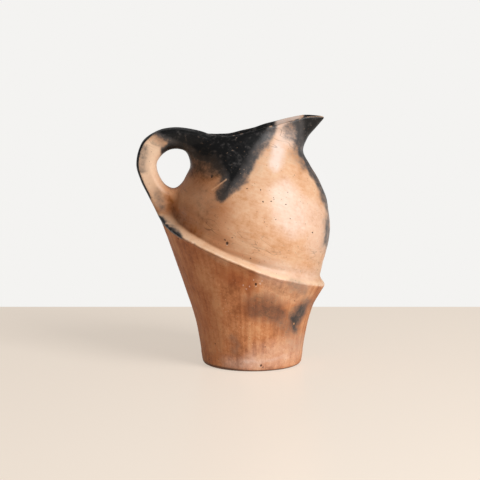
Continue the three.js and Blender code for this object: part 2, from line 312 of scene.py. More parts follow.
def profile(rows):
    """A smooth curve through (place, size) rows that never overshoots them"""
    at, size = np.array(rows, float).T
    rates = np.diff(size) / np.diff(at)
    before, after = rates[:-1], rates[1:]
    turning = before * after <= 0
    inner = np.where(turning, 0, 2 * before * after / np.where(turning, 1, before + after))
    slopes = np.concatenate([rates[:1], inner, rates[-1:]])

    def size_at(x):
        i = np.clip(np.searchsorted(at, x, side="right") - 1, 0, len(at) - 2)
        run = at[i + 1] - at[i]
        t = np.clip((x - at[i]) / run, 0, 1)
        u = 1 - t
        level = u * u * (1 + 2 * t) * size[i] + t * t * (3 - 2 * t) * size[i + 1]
        bow = run * t * u * (u * slopes[i] - t * slopes[i + 1])
        beyond = np.minimum(x - at[0], 0) * slopes[0] + np.maximum(x - at[-1], 0) * slopes[-1]
        return level + bow + beyond

    return size_at


# Unevenness of the clay and its marks: how wide its bumps are in millimetres, and its seed
BUMPS = {
    "lumps": (42, 1),
    "small lumps": (17, 2),
    "flats": (11, 3),
    "small flats": (4.5, 4),
    "ridge": (26, 5),
    "ridge nicks": (9, 6),
    "strokes": (7, 7),
    "coil line": (30, 8),
    "coil patches": (24, 9),
    "foot band": (30, 10),
    "chips": (4.2, 11),
    "rim": (14, 12),
    "broad wander along": (17, 21),
    "broad wander up": (17, 22),
    "fine wander along": (6, 23),
    "fine wander up": (6, 24),
    "worn lip": (4, 25),
    "burnt edge": (5, 26),
    "glints": (3.5, 27),
    "crazing": (14, 28),
    "strap's black": (9, 29),
}
# Large odd numbers that scatter a grid corner's place and a seed over all numbers of 31 bits
SCATTER_PLACE = (73856093, 19349663, 83492791)
SCATTER_SEED, SCATTER_ONCE, SCATTER_AGAIN = 668265263, 1274126177, 2246822519
ALL_BITS = 2**31 - 1


def unevenness(points, mark):
    """Smooth noise from -1 to 1 with the bumps of a mark"""
    size, seed = BUMPS[mark]
    place = np.asarray(points, np.float32) / size
    base = np.floor(place).astype(np.int64)
    part = smooth(place - base)
    total = np.zeros(place.shape[:-1], np.float32)
    for corner in itertools.product((0, 1), repeat=3):
        lot = np.bitwise_xor.reduce((base + corner) * SCATTER_PLACE, axis=-1)
        lot = (lot ^ (seed * SCATTER_SEED)) * SCATTER_ONCE & ALL_BITS
        lot = (lot ^ (lot >> 15)) * SCATTER_AGAIN & ALL_BITS
        lot = lot ^ (lot >> 13)
        weight = np.prod(np.where(corner, part, 1 - part), axis=-1)
        total += weight * (lot / 2**30 - 1)
    return total


def rounded_cut(a, b, radius):
    """What lies in both bodies, with the edge between them rounded"""
    corner = np.hypot(np.maximum(a + radius, 0), np.maximum(b + radius, 0))
    return np.minimum(np.maximum(a, b), -radius) + corner


def smeared_join(a, b, radius):
    """Both bodies together, with clay smeared into the angle between them"""
    corner = np.hypot(np.maximum(radius - a, 0), np.maximum(radius - b, 0))
    return np.maximum(np.minimum(a, b), radius) - corner


def path_distance(points, path):
    """Distance of side-view points from a path, and how far along the path that is"""
    best = np.full(points.shape[:-1], np.inf)
    along = np.zeros(points.shape[:-1])
    for i, (start, end) in enumerate(zip(path[:-1], path[1:])):
        run = end - start
        t = np.clip((points - start) @ run / (run @ run), 0, 1)
        gap = np.linalg.norm(points - start - t[..., None] * run, axis=-1)
        nearer = gap < best
        best = np.where(nearer, gap, best)
        along = np.where(nearer, (i + t) / (len(path) - 1), along)
    return best, along


def within(points, outline):
    """Whether side-view points lie inside an outline"""
    x, z = points[..., 0], points[..., 1]
    inside = np.zeros(x.shape, bool)
    for (x0, z0), (x1, z1) in zip(outline, np.roll(outline, -1, axis=0)):
        if z0 != z1:
            crosses = (z0 > z) != (z1 > z)
            inside ^= crosses & (x < x0 + (z - z0) / (z1 - z0) * (x1 - x0))
    return inside


def bent_path(places, steps=12):
    """A smooth path through places, its knots spaced by the root of the distance between them"""
    places = np.array(places, float)
    ends = [2 * places[0] - places[1], *places, 2 * places[-1] - places[-2]]
    path = []
    for p0, p1, p2, p3 in zip(ends, ends[1:], ends[2:], ends[3:]):
        k1 = math.sqrt(np.linalg.norm(p1 - p0))
        k2 = k1 + math.sqrt(np.linalg.norm(p2 - p1))
        k3 = k2 + math.sqrt(np.linalg.norm(p3 - p2))
        for k in np.linspace(k1, k2, steps, endpoint=False):
            a = mix(p0, p1, k / k1)
            b = mix(p1, p2, (k - k1) / (k2 - k1))
            c = mix(p2, p3, (k - k2) / (k3 - k2))
            path.append(mix(mix(a, b, k / k2), mix(b, c, (k - k1) / (k3 - k1)), (k - k1) / (k2 - k1)))
    return np.array([*path, places[-1]])


# The jug's form, in millimetres


class JugForm:
    """The jug as a field that is negative inside the clay"""

    # Columns round the jug in a table of a skin
    COLUMNS = 1440
    # Radii at which marks along the ridge and up the wall are measured
    EDGE_RING, WALL_RING = 60, 70
    # How many times the scraped flats are drawn out up the wall
    WALL_STRETCH = 9
    # Reach of the field's grid along x, y and z, and of the strap along x
    GRID_REACH = ((-131, 91), (-96, 96), (-4, 282))
    STRAP_REACH = (-140, -20)
    # Rounding of the angle between wall and floor inside
    FLOOR_ROUNDING = 8
    # Runs over which the fillets' radii change up the strap, at its top and where it is flush, and how
    # much of the fillet goes there
    FILLET_RUN, TOP_RUN, FLUSH_RUN, FLUSH_LOSS = 12, 8, 8, 0.85

    def __init__(self, jug):
        for group in FORM_GROUPS:
            setattr(self, group, in_mm(getattr(jug, group)))
        wall, rim = self.wall, self.rim
        self.flared = profile([(0, wall.foot_radius), wall.knee, wall.flare, wall.brim])
        rows = [getattr(self.belly, name) for name in BELLY_STATIONS]
        self.front, self.rear, self.side = (profile([(r[0], r[i]) for r in rows]) for i in (1, 2, 3))
        places = [rim.dip, rim.middle, rim.rise, rim.crest, rim.tip]
        self.rim_line = profile([(-self.rear(rim.back), rim.back), *places])
        self.ridge_edge = -self.flared(self.ridge.back)

    # Skins of the body, at a turn round it from the spout and a height

    def rim_height(self, x, y):
        """Height of the rim, which wanders and stands higher on the jug's right"""
        wander = self.rim.wobble * unevenness(joined(x, y, 0 * x), "rim")
        return self.rim_line(x) + wander + self.rim.uneven * smooth((30 - x) / 16) * smooth((-4 - y) / 12)

    def ridge_height(self, turn):
        """Height of the ridge's edge"""
        ridge = self.ridge
        side = ridge.side - ridge.front
        curl = (ridge.back - ridge.front) / 2 - side
        away = 1 - np.cos(turn)
        ring = self.EDGE_RING
        place = joined(ring * np.cos(turn), ring * np.sin(turn), 0 * turn)
        wander = ridge.wobble * unevenness(place, "ridge")
        wander = wander + 0.4 * ridge.wobble * unevenness(place, "ridge nicks")
        arch = ridge.lift * np.sin(2 * turn) ** 2 * smooth(3 * np.cos(turn))
        heel = ridge.heel * smooth((away - 1.9) / 0.09)
        return ridge.front + (side - curl) * away + curl * away * away + arch + heel + wander

    def round_back(self, pair, turn):
        """A size given at the spout and at the back, at a turn between them"""
        return mix(pair[0], pair[1], smooth((0.75 - np.cos(turn)) / 1.1))

    def lean(self, reach, z):
        """Level thickness over square thickness, on a wall that leans"""
        return np.hypot(1, reach(z + 0.5) - reach(z - 0.5))

    def flared_point(self, turn, z, inset):
        """A point of the flared wall, drawn in by an inset"""
        radius = self.flared(z) - inset * self.lean(self.flared, z)
        return radius * np.cos(turn), radius * np.sin(turn)

    def belly_point(self, turn, z, inset):
        """A point of the belly, neck or spout, drawn in by an inset"""
        reaches = (self.front, self.rear, self.side)
        front, rear, side = (reach(z) - inset * self.lean(reach, z) for reach in reaches)
        throat, tip = self.belly.throat[0], self.belly.spout_tip[0]
        pinch = self.belly.pinch * smooth((z - throat) / (tip - throat))
        drawn = 1 - pinch * np.maximum(0, np.cos(turn))
        x = (front - rear) / 2 + (front + rear) / 2 * np.cos(turn)
        return x, side * np.sin(turn) * drawn

    def outer_point(self, turn, z):
        """A point of the outer skin"""
        edge = self.ridge_height(turn)
        fade = smooth(np.arccos(np.clip(-np.cos(turn), -1, 1)) / (math.pi / 3))
        out = self.round_back(self.ridge.out, turn) * fade
        above = z - edge
        below = np.clip(-above / self.round_back(self.ridge.undercut, turn), 0, 1)
        hollow = mix((1 - below) ** 1.2, 1 - below**2, smooth((0.2 - np.cos(turn)) / 0.7))
        low_x, low_y = self.flared_point(turn, z, -out * hollow)
        belly_x, belly_y = self.belly_point(turn, z, 0)
        brim_x, brim_y = self.flared_point(turn, edge, -out)
        root_x, root_y = self.belly_point(turn, edge, 0)
        run = np.clip(above / self.round_back(self.ridge.ledge, turn), 0, 1)
        rolled = smooth((0.55 - np.cos(turn)) / 0.9)
        left = mix((1 - run) ** 1.6, 1 - smooth(run**1.15), rolled)
        x = np.where(above <= 0, low_x, belly_x + (brim_x - root_x) * left)
        y = np.where(above <= 0, low_y, belly_y + (brim_y - root_y) * left)
        return x, y

    def inner_point(self, turn, z):
        """A point of the inner skin, which passes behind the ridge without following it"""
        ease = self.ridge.cavity_ease
        across = smooth((z - self.ridge_height(turn) + ease) / ease)
        throat, crest = self.belly.throat[0], self.rim.crest[1]
        thick = mix(self.wall.wall, self.wall.lip, smooth((z - throat) / (crest - throat)))
        low_x, low_y = self.flared_point(turn, z, self.wall.wall)
        high_x, high_y = self.belly_point(turn, z, thick)
        return mix(low_x, high_x, across), mix(low_y, high_y, across)

    def radius_table(self, skin, levels):
        """A skin's distance from the axis, in rows of equal height and columns of equal angle"""
        turns = np.linspace(0, TAU, self.COLUMNS, endpoint=False)
        turn, z = np.meshgrid(turns, levels)
        x, y = skin(turn, z)
        angles = np.arctan2(y, x) % TAU
        rows = zip(angles, np.hypot(x, y))
        return np.array([np.interp(turns, a, r, period=TAU) for a, r in rows], np.float32)

    def relief(self, table, levels):
        """Depth of the hand's and the tools' marks on the outer skin"""
        marks = self.surface
        angle, z = np.meshgrid(np.linspace(0, TAU, self.COLUMNS, endpoint=False), levels)
        here = joined(table * np.cos(angle), table * np.sin(angle), z)
        radius = self.WALL_RING
        ring = joined(radius * np.cos(angle), radius * np.sin(angle), z / self.WALL_STRETCH)
        above = z - self.ridge_height(angle)
        scraped = smooth((4 - above) / 8)
        depth = marks.lumps * (0.7 * unevenness(here, "lumps") + 0.3 * unevenness(here, "small lumps"))
        depth *= smooth(z / 30)
        small = unevenness(ring * (1, 1, 0.7), "small flats")
        flats = unevenness(ring, "flats") * 0.6 + small * 0.4
        depth += marks.facets * flats * scraped * smooth(z / 12)
        slant = here * (0.35, 0.35, 1) + joined(0 * z, 0 * z, 0.4 * here[..., 0])
        burnish = unevenness(slant, "strokes") * smooth((240 - z) / 30)
        depth += marks.strokes * burnish * (1 - scraped)
        line = above - marks.coil_line[1] - 2.5 * unevenness(here, "coil line")
        patchy = smooth(0.6 + unevenness(here, "coil patches"))
        depth -= marks.coil_line[0] * hump(line, 2.2) * patchy
        band = z - marks.foot_band[1] - 1.2 * unevenness(here, "foot band")
        depth += marks.foot_band[0] * smooth(-band / 2.5) * smooth(z / 5)
        trough = hump(above - self.ridge.trough[1], 6)
        depth -= self.ridge.trough[0] * trough * smooth((0.35 - np.cos(angle)) / 0.9)
        chip = smooth((unevenness(here, "chips") - 0.45) / 0.3) * hump(above + 0.5, 2.4)
        return depth - chip * smooth((-0.25 - np.cos(angle)) / 0.3)

    def strap_field(self, x, y, z):
        """Distance from the strap handle"""
        strap = self.strap
        rows = [getattr(strap, name) for name in STRAP_STATIONS]
        back = bent_path([r[0:2] for r in rows])
        inner = bent_path([r[2:4] for r in rows])
        widths = profile([(i / (len(rows) - 1), r[4]) for i, r in enumerate(rows)])
        grid_x = np.arange(*self.STRAP_REACH, 1.0)
        places = joined(*np.meshgrid(grid_x, z, indexing="ij"))
        to_back, along_back = path_distance(places, back)
        to_inner, along_inner = path_distance(places, inner)
        outline = np.concatenate([back, inner[::-1]])
        side_on = np.where(within(places, outline), -1, 1) * np.minimum(to_back, to_inner)
        half = widths((along_back + along_inner) / 2) / 2
        over = np.maximum(0, z - self.ridge.back)
        half = half + strap.spread[0] * np.exp(-over / strap.spread[1])
        nearness = to_back / (to_back + to_inner + 1e-6)
        soft = mix(strap.rounding[0], strap.rounding[1], smooth(nearness))
        wrap = smooth((strap.wrap[0] - (z - self.ridge.back)) / (strap.wrap[0] - strap.wrap[1]))
        radius = abs(self.ridge_edge)
        bend = radius - np.sqrt(np.maximum(radius**2 - y**2, 0))
        shifted = x[:, None, None] - wrap * bend[None, :, None]
        column = np.clip(shifted - grid_x[0], 0, len(grid_x) - 1.001)
        low = column.astype(int)
        part = column - low
        level = np.arange(len(z))[None, None, :]
        sheets = (side_on, half, soft)
        side_on, half, soft = (mix(s[low, level], s[low + 1, level], part) for s in sheets)
        across = np.abs(y)[None, :, None] - half
        a, b = side_on + soft, across + soft
        rounded = np.hypot(np.maximum(a, 0), np.maximum(b, 0))
        return np.minimum(np.maximum(a, b), 0) + rounded - soft

    def field(self):
        """The field on a grid, with the grid's first corner and its cell"""
        cell = self.surface.cell
        x, y, z = (np.arange(low, high, cell) for low, high in self.GRID_REACH)
        radius = np.hypot(x[:, None], y[None, :])
        angle = np.arctan2(y[None, :], x[:, None]) % TAU

        def round_axis(table):
            """Distance from a skin, from its table of radii, made square to the skin"""
            column = angle / TAU * self.COLUMNS
            low = column.astype(int)
            part = (column - low)[None]
            rows = mix(table[:, low % self.COLUMNS], table[:, (low + 1) % self.COLUMNS], part)
            gap = np.moveaxis(radius[None] - rows, 0, 2).astype(np.float32)
            steep = np.sqrt(sum(g * g for g in np.gradient(gap, cell)))
            return gap / np.maximum(steep, 0.5)

        outer = self.radius_table(self.outer_point, z)
        outer = round_axis(outer + self.relief(outer, z))
        inner = round_axis(self.radius_table(self.inner_point, z))
        rim = self.rim_height(*np.meshgrid(x, y, indexing="ij"))
        slope = np.hypot(1, np.gradient(self.rim_line(x), cell))[:, None, None]
        over_rim = (z[None, None] - rim[..., None]) / slope
        body = rounded_cut(outer, -z[None, None], self.wall.foot_rounding)
        body = rounded_cut(body, over_rim, self.rim.rounding)
        # Smeared clay bulges where strap and wall run flush, so most of it goes there
        under, over, foot = self.strap.fillet
        low, middle, high = self.strap.fillet_heights
        at_top = smooth((z - middle) / self.FILLET_RUN) * smooth((high - z) / self.TOP_RUN)
        smear = mix(mix(under, over, at_top), foot, smooth((low - z) / self.FILLET_RUN))
        flush = smooth((self.strap.flush - x) / self.FLUSH_RUN)
        smear = smear * (1 - self.FLUSH_LOSS * flush)[:, None, None]
        clay = smeared_join(body, self.strap_field(x, y, z), smear)
        hollow = rounded_cut(inner, self.wall.floor - z[None, None], self.FLOOR_ROUNDING)
        clay = rounded_cut(clay, -hollow, self.rim.rounding)
        return clay.astype(np.float32), np.array([x[0], y[0], z[0]]), cell


class JugSkin:
    """The jug's whole skin as one closed mesh, with its true normals"""

    made = {}

    def __init__(self, form):
        self.form = form
        self.values, self.corner, self.cell = form.field()
        self.slopes = joined(*np.gradient(self.values, self.cell))
        grid = openvdb.FloatGrid(10.0)
        grid.copyFromArray(self.values)
        points, self.quads = grid.convertToQuads()
        points = points * self.cell + self.corner
        gap, normal = self.at(points)
        self.points = points - gap[:, None] * normal

    def at(self, points):
        """The field's value and its unit slope at points"""
        place = (points - self.corner) / self.cell
        last = np.array(self.values.shape) - 1.001
        place = np.clip(place, 0, last)
        base = place.astype(int)
        part = place - base
        value = np.zeros(len(points))
        slope = np.zeros((len(points), 3))
        for corner in itertools.product((0, 1), repeat=3):
            i, j, k = (base + corner).T
            weight = np.prod(np.where(corner, part, 1 - part), axis=1)
            value += weight * self.values[i, j, k]
            slope += weight[:, None] * self.slopes[i, j, k]
        length = np.linalg.norm(slope, axis=1)
        return value / length, slope / length[:, None]


def split(body, place, normal):
    """Cut a closed body in two along a plane and close both halves: behind the plane, then before it"""
    halves = []
    for before in (False, True):
        half = body.copy()
        bmesh.ops.bisect_plane(
            half,
            geom=[*half.verts, *half.edges, *half.faces],
            dist=1e-7,
            plane_co=place,
            plane_no=normal,
            clear_inner=before,
            clear_outer=not before,
        )
        rim = [edge for edge in half.edges if edge.is_boundary]
        cap = bmesh.ops.triangle_fill(half, use_beauty=True, edges=rim)["geom"]
        faces = [f for f in cap if isinstance(f, bmesh.types.BMFace)]
        outwards = -normal if before else normal
        if faces and sum(f.normal.dot(outwards) * f.calc_area() for f in faces) < 0:
            bmesh.ops.reverse_faces(half, faces=faces)
        for face in faces:
            face.smooth = False
        halves.append(half)
    body.free()
    return halves


def seams(form):
    """Seams between the body's pieces from the foot up: name of the piece below, height, and fall"""
    ridge, belly = form.ridge, form.belly
    ridge_front = form.flared(ridge.front) + ridge.out[0]
    fall = (ridge.back - ridge.front) / (ridge_front - form.ridge_edge)
    middle = ridge.front + fall * ridge_front
    slab, under = (form.wall.slab_seam, 0), (middle - ridge.below, fall)
    over, neck = (middle + ridge.above, fall), (belly.neck_seam, 0)
    rows = [("floor_slab", *slab)]
    for group, low, high in (("lower_wall_course", slab, under), ("belly_course", over, neck)):
        for i in COURSES:
            height, drop = (mix(a, b, i / len(COURSES)) for a, b in zip(low, high))
            rows.append((f"{group}_{i}", height, drop))
        if group == "lower_wall_course":
            rows.append(("ridge_collar", *over))
    return [*rows, ("neck_course", belly.spout_seam, 0)]


def jug_pieces(jug):
    """The jug's skin, and its closed pieces by name, made once for the sizes in use"""
    form = JugForm(jug)
    key = repr([vars(getattr(form, group)) for group in FORM_GROUPS])
    if key in JugSkin.made:
        return JugSkin.made[key]
    skin = JugSkin(form)
    mesh = bpy.data.meshes.new("skin")
    mesh.from_pydata(skin.points * MM, [], skin.quads)
    body = bmesh.new()
    body.from_mesh(mesh)
    bpy.data.meshes.remove(mesh)
    for face in body.faces:
        face.smooth = True
    x0, z0, x1, z1 = (v * MM for v in form.strap.cut)
    towards_body = Vector((z1 - z0, 0, x0 - x1)).normalized()
    pieces = {}
    pieces["strap_handle"], body = split(body, Vector((x0, 0, z0)), towards_body)
    for name, height, fall in seams(form):
        up = Vector((fall, 0, 1)).normalized()
        pieces[name], body = split(body, Vector((0, 0, height * MM)), up)
    pieces["spout_rim"] = body
    JugSkin.made.clear()
    JugSkin.made[key] = (skin, pieces)
    return JugSkin.made[key]


# Smoke, stains, wear, painted shade and painted highlights, painted on the skin's points

# How far a smoke cloud fades past its outline, and a mark's edge wanders broadly and finely (mm)
SMOKE_RIM = 7
BROAD_WANDER, FINE_WANDER = 3.5, 1.8

# The hollow lies before this place, within this radius and over this height (mm)
HOLLOW_BACK, HOLLOW_RADIUS, HOLLOW_FLOOR = -62, 90, 9

# Smoke clouds in side view: sides, how dark, how far in they reach full black (mm), and the outline (x, z)
SMOKE_SHEETS = (
    ("near", 1.0, 9, (
        (-112, 275), (-112, 260), (-101, 253), (-90, 248), (-80, 244), (-72, 239), (-64, 234),
        (-54, 231), (-44, 231), (-34, 236), (0, 244), (12, 256), (19, 268), (20, 290),
    )),
    ("near", 1.0, 12, (
        (-76, 270), (-66, 240), (-52, 235), (-44, 230), (-38, 223), (-36, 219), (-33, 215),
        (-31.5, 211), (-34, 206), (-37.5, 200), (-38, 197), (-33, 192.5), (-26, 196), (-15, 204),
        (-8.5, 212), (-4, 222), (0, 230), (3, 235), (7, 241), (13, 249), (17, 253), (21, 258),
        (23, 266), (24, 290), (-60, 280),
    )),
    ("far", 1.0, 12, (
        (-110, 275), (-108, 256), (-92, 245), (-74, 238), (-60, 228), (-52, 208), (-36, 200),
        (-22, 214), (-10, 238), (8, 248), (24, 260), (38, 290), (-60, 280),
    )),
    ("both", 1.0, 10, (
        (50, 290), (52, 268), (52, 257), (51, 248), (52.5, 240), (54, 231), (60, 223), (66, 214),
        (71, 206), (76.5, 196), (80, 186), (81.5, 175), (83, 164), (96, 164), (96, 290),
    )),
    ("near", 0.48, 3, (
        (78, 166), (88, 162), (90, 128), (80, 126), (78, 142),
    )),
)

# Smoke as streaks, by side: how dark, half-width and softness (mm), and its two ends (x, z in mm)
SMOKE_STREAKS = {
    "near": (
        (0.20, 6, 12, (28, 270), (40, 266)), (0.32, 3, 10, (45, 268), (47, 256)),
        (0.12, 2, 13, (2, 224), (12, 238)), (0.12, 1, 12, (-36, 194), (-37, 186)),
        (0.48, 5, 22, (-68, 225), (-46, 224)), (0.20, 4, 20, (-56, 192), (-50, 172)),
        (0.22, 0, 8, (-92, 188), (-89, 177)), (0.24, 0, 8, (-87, 172), (-78, 164)),
        (0.16, 0, 6, (-72, 160), (-56, 151)), (0.60, 1, 7, (-98, 234), (-90, 239.5)),
        (0.74, 2, 8, (-90, 240), (-79, 241)), (0.60, 0, 5, (-80, 240), (-71, 231)),
        (0.12, 6, 16, (28, 244), (42, 240)), (0.24, 2, 9, (46, 240), (58, 222)),
        (0.34, 1, 8, (-120, 238), (-118, 216)), (0.34, 1, 9, (-106, 190), (-99, 177)),
        (0.26, 2, 9, (-106, 246), (-98, 238)), (0.26, 3, 18, (0, 82), (22, 78)),
        (0.22, 2, 16, (4, 66), (22, 64)), (0.38, 0, 13, (46, 57), (50, 63)),
        (0.14, 4, 16, (38, 50), (54, 66)), (0.26, 0, 14, (51, 66), (60, 76)),
        (0.30, 0, 8, (45, 54), (45, 46)), (0.24, 2, 9, (42, 98), (54, 92)),
        (0.24, 1, 9, (-22, 38), (-17, 26)), (0.16, 4, 16, (30, 56), (46, 30)),
    ),
    "far": (
        (0.40, 10, 18, (-30, 112), (0, 100)), (0.50, 4, 14, (30, 60), (48, 40)),
        (0.28, 12, 22, (30, 186), (48, 160)),
    ),
}

# Brown stains of the firing, and painted shade on the jug's left side and in the creases by the strap, in
# the same way
STAIN_AND_SHADE_STREAKS = {
    "near": (
        (0.72, 10, 20, (-66, 236), (-50, 220)), (0.52, 12, 30, (-80, 200), (-50, 184)),
        (0.48, 6, 18, (-86, 172), (-40, 144)), (0.20, 8, 30, (-40, 160), (-16, 132)),
        (0.60, 3, 14, (-32, 113), (-6, 104)), (0.70, 0, 9, (-92, 188), (-89, 175)),
        (0.70, 0, 9, (-88, 174), (-60, 153)), (0.35, 12, 26, (-76, 126), (-48, 30)),
        (0.30, 3, 14, (-96, 244), (-76, 236)), (0.50, 4, 20, (2, 76), (24, 72)),
        (0.36, 2, 12, (45, 54), (52, 68)),
    ),
    "far": (
        (0.80, 12, 28, (-70, 216), (-40, 190)), (0.50, 14, 36, (-80, 190), (-40, 170)),
        (0.35, 8, 26, (-70, 110), (-50, 60)),
    ),
}

# Where pale slip gathers, and painted highlights on the belly, the neck and the strap's face, in the same
# way
SLIP_AND_HIGHLIGHT_STREAKS = {
    "near": (
        (0.95, 2, 10, (27, 242), (25, 226)), (0.60, 5, 12, (33, 264), (42, 254)),
        (0.64, 7, 18, (36, 192), (43, 166)), (0.34, 5, 16, (62, 176), (72, 140)),
        (0.36, 4, 14, (14, 116), (56, 103)), (0.26, 6, 18, (6, 12), (44, 22)),
        (0.30, 2, 12, (-24, 9), (0, 11)), (0.55, 4, 14, (-113, 234), (-108, 206)),
        (0.25, 0, 4, (-6, 13), (40, 15)),
    ),
    "far": (
        (0.70, 10, 24, (10, 220), (34, 160)), (0.30, 10, 20, (-10, 20), (30, 30)),
    ),
}

# Painted highlights, warm and pale, on the strap's face, on the ledge over the ridge and near the ridge's
# front, in the same way
HIGHLIGHT_STREAKS = {
    "near": (
        (1.0, 6, 14, (-113, 236), (-109, 206)), (0.50, 1.5, 6, (-60, 149), (-28, 127)),
        (0.36, 4, 14, (20, 90), (52, 84)),
    ),
}

# A scratch on the near side, from end to end (x, z in mm)
SCRATCH = ((-43.5, 200.0), (-27.5, 211.5))


def on_sides(points):
    """How much of each side's marks a point takes"""
    near = smooth(0.5 - points[:, 1] / 16)
    return {"near": near, "far": 1 - near, "both": 1.0}


def wandering(points):
    """Points in side view, shifted a little so that a mark's edge wanders"""
    broad, fine = (
        joined(*(unevenness(points, f"{how} wander {way}") for way in ("along", "up")))
        for how in ("broad", "fine")
    )
    return points[:, (0, 2)] + BROAD_WANDER * broad + FINE_WANDER * fine


def streaked(points, streaks):
    """How strong some soft streaks are together at each point"""
    sides, side_view = on_sides(points), wandering(points)
    clear = np.ones(len(points))
    for side, rows in streaks.items():
        for strength, wide, soft, *ends in rows:
            gap, _ = path_distance(side_view, np.array(ends, float))
            clear *= 1 - strength * smooth(1 - (gap - wide) / soft) * sides[side]
    return 1 - clear


def smoked(points):
    """How dark the smoke lies on each point, 1 for black"""
    sides, side_view = on_sides(points), wandering(points)
    sheets = dict.fromkeys(sides, np.zeros(len(points)))
    for side, dark, soft, outline in SMOKE_SHEETS:
        outline = np.array(outline, float)
        gap, _ = path_distance(side_view, np.concatenate([outline, outline[:1]]))
        gap = np.where(within(side_view, outline), gap, -gap)
        depth = 0.5 * smooth(1 + gap / SMOKE_RIM) + 0.5 * smooth(gap / soft)
        sheets[side] = np.maximum(sheets[side], dark * depth)
    smoke = sheets["near"] * sides["near"] + sheets["far"] * sides["far"]
    smoke = np.maximum(smoke, sheets["both"])
    return smoke + streaked(points, SMOKE_STREAKS) * (1 - smoke)


def paint(skin, points, normals):
    """Masks on the skin's points for its finishes and marks, and for painted shade and highlights"""
    form = skin.form
    x, y, z = points.T
    angle = np.arctan2(y, x)
    radius = np.hypot(x, y)
    above = z - form.ridge_height(angle)
    under_rim = form.rim_height(x, y) - z
    middle = (form.front(z) - form.rear(z)) / 2
    off_axis = joined(x - middle, y)
    facing = np.sum(normals[:, :2] * off_axis, axis=1) / (np.linalg.norm(off_axis, axis=1) + 1e-6)
    inside = smooth((-0.1 - facing) / 0.25) * (x > HOLLOW_BACK) * (radius < HOLLOW_RADIUS)
    inside = inside * smooth((z - HOLLOW_FLOOR) / 2)
    outside = 1 - inside

    # The ridge: a painted highlight along its crest and painted glints on its edge, and painted shade in the
    # crease over it and under its edge
    off_front = smooth((0.6 - np.cos(angle)) / 0.8)
    ledge = form.round_back(form.ridge.ledge, angle)
    dirt = 0.25 * hump(above - 1.05 * ledge, 2.6) * (0.25 + 0.75 * off_front)
    dirt += 0.4 * hump(above + 2.4, 1.3) * off_front
    worn = hump(above - 2.0, 2.2)
    on_ridge = smooth((above + 1) / 2) * smooth((ledge - above) / 3)
    glint = hump(above - 0.8, 1.2) * smooth((unevenness(points, "glints") + 0.1) / 0.4)
    # Over the ledge a brown band of painted shade lies in the trough, and at the handle the ridge's edge is
    # burnt black
    band = 0.5 * hump(above - ledge - 3, 4) * smooth((0.45 - np.cos(angle)) / 0.4)
    ridge_back = hump(above + 0.6, 3.2) * smooth((-71 - x) / 9)
    ridge_back *= smooth(1.15 + 0.8 * unevenness(points, "burnt edge"))
    # Painted shadow where the foot stands, reaching higher up towards the handle
    foot_line = 2.4 + 2.2 * smooth((5 - x) / 45)
    dirt += 0.95 * smooth((foot_line - z) / 1.4)
    # The strap's back is black, down to a ragged end
    strap_back = smooth((-normals[:, 0] - 0.3) / 0.25) * smooth((-96 - x) / 6)
    strap_back *= smooth((z - 180 - 8 * unevenness(points, "strap's black")) / 14)
    # The lip and the beak's keel are rubbed through in places
    lip = hump(under_rim, 1.1) * smooth((x + 60) / 8)
    patches = smooth((unevenness(points, "worn lip") - 0.15) / 0.3)
    lip *= np.maximum(0.8 * smooth((x - 52) / 10), 0.6 * patches)
    keel = 0.7 * hump(y, 1.3) * smooth((z - 256) / 8) * smooth((x - 62) / 6) * outside
    lip = np.maximum(lip, keel)
    scratch, _ = path_distance(points[:, (0, 2)], np.array(SCRATCH))
    scratch = smooth(1.1 - scratch) * (y < 0)
    # Inside, smoke blackens the mouth at the handle and the beak's tip, painted shade darkens the hollow
    # deeper down, and the far lip stays pale
    mouth = smooth((30 - under_rim) / 16) * np.maximum(smooth((30 - x) / 10), smooth((x - 54) / 6))
    far_lip = smooth((14 - under_rim) / 8) * smooth((x - 16) / 10) * smooth((58 - x) / 8)
    soot_and_shade = np.maximum(mouth, 0.25 * smooth((under_rim - 8) / 30))
    # Fine cracks opened low on the belly and on the neck
    crazed = smooth((above - 8) / 5) * smooth((50 - above) / 22)
    crazed *= smooth(0.6 + unevenness(points, "crazing"))
    crazed = np.maximum(crazed, smooth((z - 236) / 10))

    smoke = np.maximum(smoked(points), np.maximum(strap_back, ridge_back))
    smoke = smoke * (1 - np.maximum(lip, 0.7 * scratch))
    stain = np.maximum(streaked(points, STAIN_AND_SHADE_STREAKS) * (1 - 0.75 * on_ridge), band)
    # Painted highlights on the ridge's crest and in the highlight streaks, together with the real scratch
    lit_and_rubbed = np.maximum(np.maximum(worn, scratch), streaked(points, HIGHLIGHT_STREAKS))
    return {
        "smoke": mix(smoke, soot_and_shade, inside),
        "stain": stain * outside,
        "pale": mix(np.maximum(streaked(points, SLIP_AND_HIGHLIGHT_STREAKS), 0.8 * glint), far_lip, inside),
        "scraped": smooth((0.8 - above) / 1.8) * outside,
        "dirt": np.clip(dirt, 0, 1) * outside,
        "worn": np.maximum(lit_and_rubbed * outside, lip),
        "crazed": crazed * outside,
        "inside": inside,
    }


# Materials


def add_node(tree, kind, inputs=(), stops=(), out=0, **choices):
    """Add a shader node with its choices, ramp stops, values and links, and give its output"""
    node = tree.nodes.new(f"ShaderNode{kind}")
    for name, value in choices.items():
        setattr(node, name, value)
    for i, (place, shade) in enumerate(stops):
        ramp = node.color_ramp.elements
        stop = ramp[i] if i < len(ramp) else ramp.new(place)
        stop.position, stop.color = place, shade
    # Inputs come by socket, or as a row for the first sockets
    by_socket = inputs if isinstance(inputs, dict) else dict(enumerate(inputs))
    for socket, value in by_socket.items():
        if isinstance(value, bpy.types.NodeSocket):
            tree.links.new(value, node.inputs[socket])
        else:
            node.inputs[socket].default_value = value
    return node.outputs[out] if node.outputs else node


